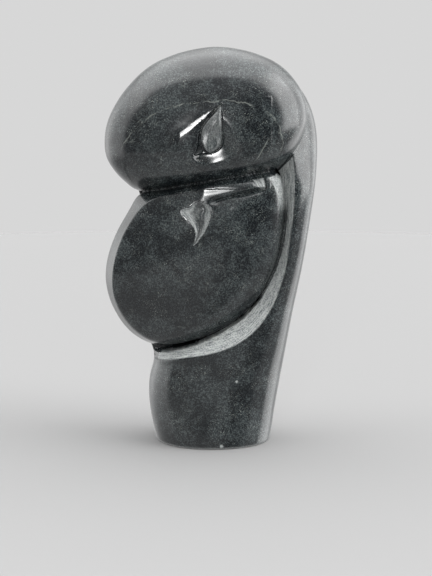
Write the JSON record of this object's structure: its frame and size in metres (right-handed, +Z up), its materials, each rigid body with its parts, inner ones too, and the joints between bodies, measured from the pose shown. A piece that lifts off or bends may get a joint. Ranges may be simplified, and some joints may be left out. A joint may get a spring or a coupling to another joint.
{
  "type": "shona couple sculpture",
  "caption": "Abstract carved stone couple: a broad head resting over an egg-shaped head set in the hollow of a cloaked body on a flat foot.",
  "frame": {"origin": "on the ground at the middle of the whole object's bounding box, inside the flat foot", "axes": "+Z up, the carved faces look towards -Y, +X to the right as one looks at the faces"},
  "size_m": [0.1836, 0.117, 0.3409],
  "materials": {
    "serpentine": "dark green-black mottled serpentine, waxed and polished to a gloss, with thin pale veins; the bevel and the small carved eyes are left finely tooled and paler"
  },
  "bodies": {
    "root": {"couple_sculpture": "serpentine"}
  },
  "joints": []
}
